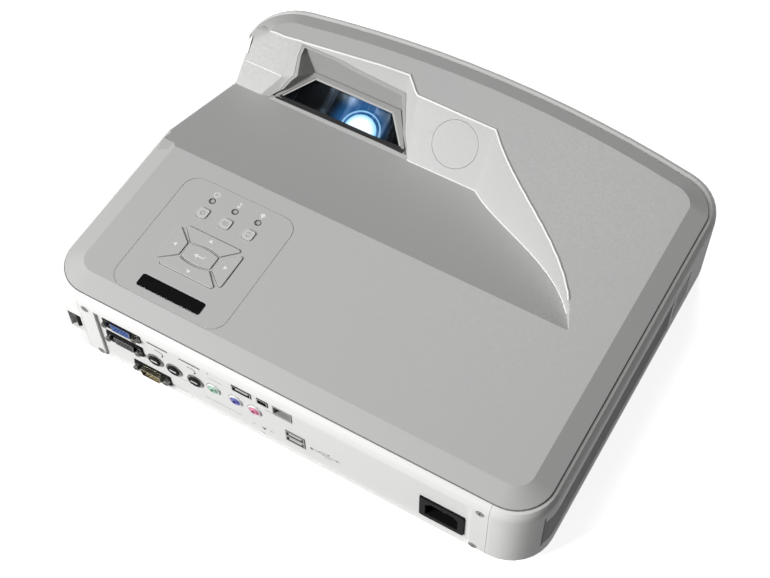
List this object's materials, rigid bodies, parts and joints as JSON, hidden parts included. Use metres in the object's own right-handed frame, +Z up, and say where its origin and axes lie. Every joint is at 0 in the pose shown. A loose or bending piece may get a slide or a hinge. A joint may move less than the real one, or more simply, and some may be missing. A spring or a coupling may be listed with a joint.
{
  "type": "ultra short throw projector",
  "caption": "Desk projector with a bowed rear, a sunk light trough under a mirror hood, a sloped window, a top key panel, side grilles and a connector panel along the front.",
  "frame": {"origin": "centre of the footprint's bounding box, on the surface the feet stand on", "axes": "+X right and +Y towards the bowed rear wall, seen from the connector side; -Y towards the connector panel; +Z up"},
  "size_m": [0.383, 0.326, 0.0828],
  "materials": {
    "housing_white": "satin",
    "cover_grey": "satin",
    "panel_grey": "satin",
    "plate_grey": "matte",
    "screw_steel": "satin",
    "ir_black": "gloss",
    "lamp_clear": "gloss",
    "key_grey": "satin",
    "pad_grey": "satin",
    "circuit_green": "satin",
    "bezel_grey": "satin",
    "window_clear": "gloss",
    "plug_grey": "satin",
    "vga_blue": "satin",
    "socket_black": "satin",
    "serial_gold": "satin",
    "jack_green": "satin",
    "jack_blue": "satin",
    "jack_pink": "satin",
    "shell_steel": "satin",
    "fan_black": "satin",
    "engine_metal": "satin",
    "barrel_black": "satin",
    "lens_clear": "gloss",
    "mirror_silver": "gloss",
    "wheel_glass": "gloss",
    "lamp_cage": "satin",
    "brass": "satin",
    "foot_dark": "satin",
    "foot_rubber": "matte",
    "supply_brown": "matte"
  },
  "bodies": {
    "chassis": {"base_case": "housing_white", "top_cover": "cover_grey", "io_fascia": "housing_white", "io_plate": "plate_grey", "panel_screws": "screw_steel", "key_panel": "panel_grey", "ir_window": "ir_black", "light_pipes": "lamp_clear", "key_board": "circuit_green", "window_bezel": "bezel_grey", "window_glass": "window_clear", "port_plug": "plug_grey", "vga_socket_a": "vga_blue", "vga_socket_b": "socket_black", "serial_socket": "serial_gold", "round_sockets": "socket_black", "jack_green": "jack_green", "jack_blue": "jack_blue", "jack_pink": "jack_pink", "hdmi_socket": "socket_black", "mini_usb_socket": "socket_black", "network_socket": "shell_steel", "usb_sockets": "shell_steel", "power_inlet": "socket_black", "security_bar": "socket_black", "exhaust_grille": "housing_white", "intake_grille": "housing_white", "upper_board": "circuit_green", "lower_board": "circuit_green", "power_supply": "supply_brown", "engine_housing": "engine_metal", "lens_barrel": "barrel_black", "lens_glass": "lens_clear", "concave_mirror": "mirror_silver", "mirror_bracket": "engine_metal", "lamp_module": "lamp_cage", "lamp_door": "housing_white", "exhaust_fan": "fan_black", "intake_fan": "fan_black", "speaker": "socket_black", "brass_inserts": "brass"},
    "power_key": {"power_key": "key_grey"},
    "source_key": {"source_key": "key_grey"},
    "resync_key": {"resync_key": "key_grey"},
    "up_key": {"up_key": "pad_grey"},
    "left_key": {"left_key": "pad_grey"},
    "right_key": {"right_key": "pad_grey"},
    "down_key": {"down_key": "pad_grey"},
    "enter_key": {"enter_key": "pad_grey"},
    "focus_ring": {"focus_ring": "fan_black"},
    "colour_wheel": {"colour_wheel": "wheel_glass"},
    "exhaust_rotor": {"exhaust_rotor": "fan_black"},
    "intake_rotor": {"intake_rotor": "fan_black"},
    "foot_pad_a": {"foot_pad_a": "foot_rubber"},
    "foot_screw_a": {"foot_screw_a": "foot_dark"},
    "foot_pad_b": {"foot_pad_b": "foot_rubber"},
    "foot_screw_b": {"foot_screw_b": "foot_dark"},
    "foot_pad_c": {"foot_pad_c": "foot_rubber"},
    "foot_screw_c": {"foot_screw_c": "foot_dark"}
  },
  "joints": [
    {"name": "power_press", "type": "slide", "parent": "chassis", "child": "power_key", "axis": [0, 0, -1], "range_m": [0, 0.0008], "stiffness_N_per_m": 1000, "springref_m": -0.0005},
    {"name": "source_press", "type": "slide", "parent": "chassis", "child": "source_key", "axis": [0, 0, -1], "range_m": [0, 0.0008], "stiffness_N_per_m": 1000, "springref_m": -0.0005},
    {"name": "resync_press", "type": "slide", "parent": "chassis", "child": "resync_key", "axis": [0, 0, -1], "range_m": [0, 0.0008], "stiffness_N_per_m": 1000, "springref_m": -0.0005},
    {"name": "up_press", "type": "slide", "parent": "chassis", "child": "up_key", "axis": [0, 0, -1], "range_m": [0, 0.0008], "stiffness_N_per_m": 1000, "springref_m": -0.0005},
    {"name": "left_press", "type": "slide", "parent": "chassis", "child": "left_key", "axis": [0, 0, -1], "range_m": [0, 0.0008], "stiffness_N_per_m": 1000, "springref_m": -0.0005},
    {"name": "right_press", "type": "slide", "parent": "chassis", "child": "right_key", "axis": [0, 0, -1], "range_m": [0, 0.0008], "stiffness_N_per_m": 1000, "springref_m": -0.0005},
    {"name": "down_press", "type": "slide", "parent": "chassis", "child": "down_key", "axis": [0, 0, -1], "range_m": [0, 0.0008], "stiffness_N_per_m": 1000, "springref_m": -0.0005},
    {"name": "enter_press", "type": "slide", "parent": "chassis", "child": "enter_key", "axis": [0, 0, -1], "range_m": [0, 0.0008], "stiffness_N_per_m": 1000, "springref_m": -0.0005},
    {"name": "focus_turn", "type": "hinge", "parent": "chassis", "child": "focus_ring", "pos_m": [-0.084, 0.012, 0.03252], "axis": [0, 1, 0], "range_deg": [-3, 3]},
    {"name": "wheel_spin", "type": "hinge", "parent": "chassis", "child": "colour_wheel", "pos_m": [0.004, -0.064, 0.028], "axis": [1, 0, 0], "continuous": true},
    {"name": "exhaust_spin", "type": "hinge", "parent": "chassis", "child": "exhaust_rotor", "pos_m": [0.18, -0.037, 0.0387], "axis": [1, 0, 0], "continuous": true},
    {"name": "intake_spin", "type": "hinge", "parent": "chassis", "child": "intake_rotor", "pos_m": [-0.18, -0.095, 0.0387], "axis": [1, 0, 0], "continuous": true},
    {"name": "foot_a_slide", "type": "slide", "parent": "chassis", "child": "foot_pad_a", "axis": [0, 0, -1], "range_m": [0, 0.008]},
    {"name": "foot_a_turn", "type": "hinge", "parent": "foot_pad_a", "child": "foot_screw_a", "pos_m": [-0.02, -0.137, 0.005], "axis": [0, 0, -1], "range_deg": [0, 2304]},
    {"name": "foot_b_slide", "type": "slide", "parent": "chassis", "child": "foot_pad_b", "axis": [0, 0, -1], "range_m": [0, 0.008]},
    {"name": "foot_b_turn", "type": "hinge", "parent": "foot_pad_b", "child": "foot_screw_b", "pos_m": [-0.165, 0.117, 0.005], "axis": [0, 0, -1], "range_deg": [0, 2304]},
    {"name": "foot_c_slide", "type": "slide", "parent": "chassis", "child": "foot_pad_c", "axis": [0, 0, -1], "range_m": [0, 0.008]},
    {"name": "foot_c_turn", "type": "hinge", "parent": "foot_pad_c", "child": "foot_screw_c", "pos_m": [0.165, 0.117, 0.005], "axis": [0, 0, -1], "range_deg": [0, 2304]}
  ],
  "couplings": [
    {"joint": "foot_a_turn", "follows": "foot_a_slide", "rad_per_m": 5026.5},
    {"joint": "foot_b_turn", "follows": "foot_b_slide", "rad_per_m": 5026.5},
    {"joint": "foot_c_turn", "follows": "foot_c_slide", "rad_per_m": 5026.5}
  ]
}
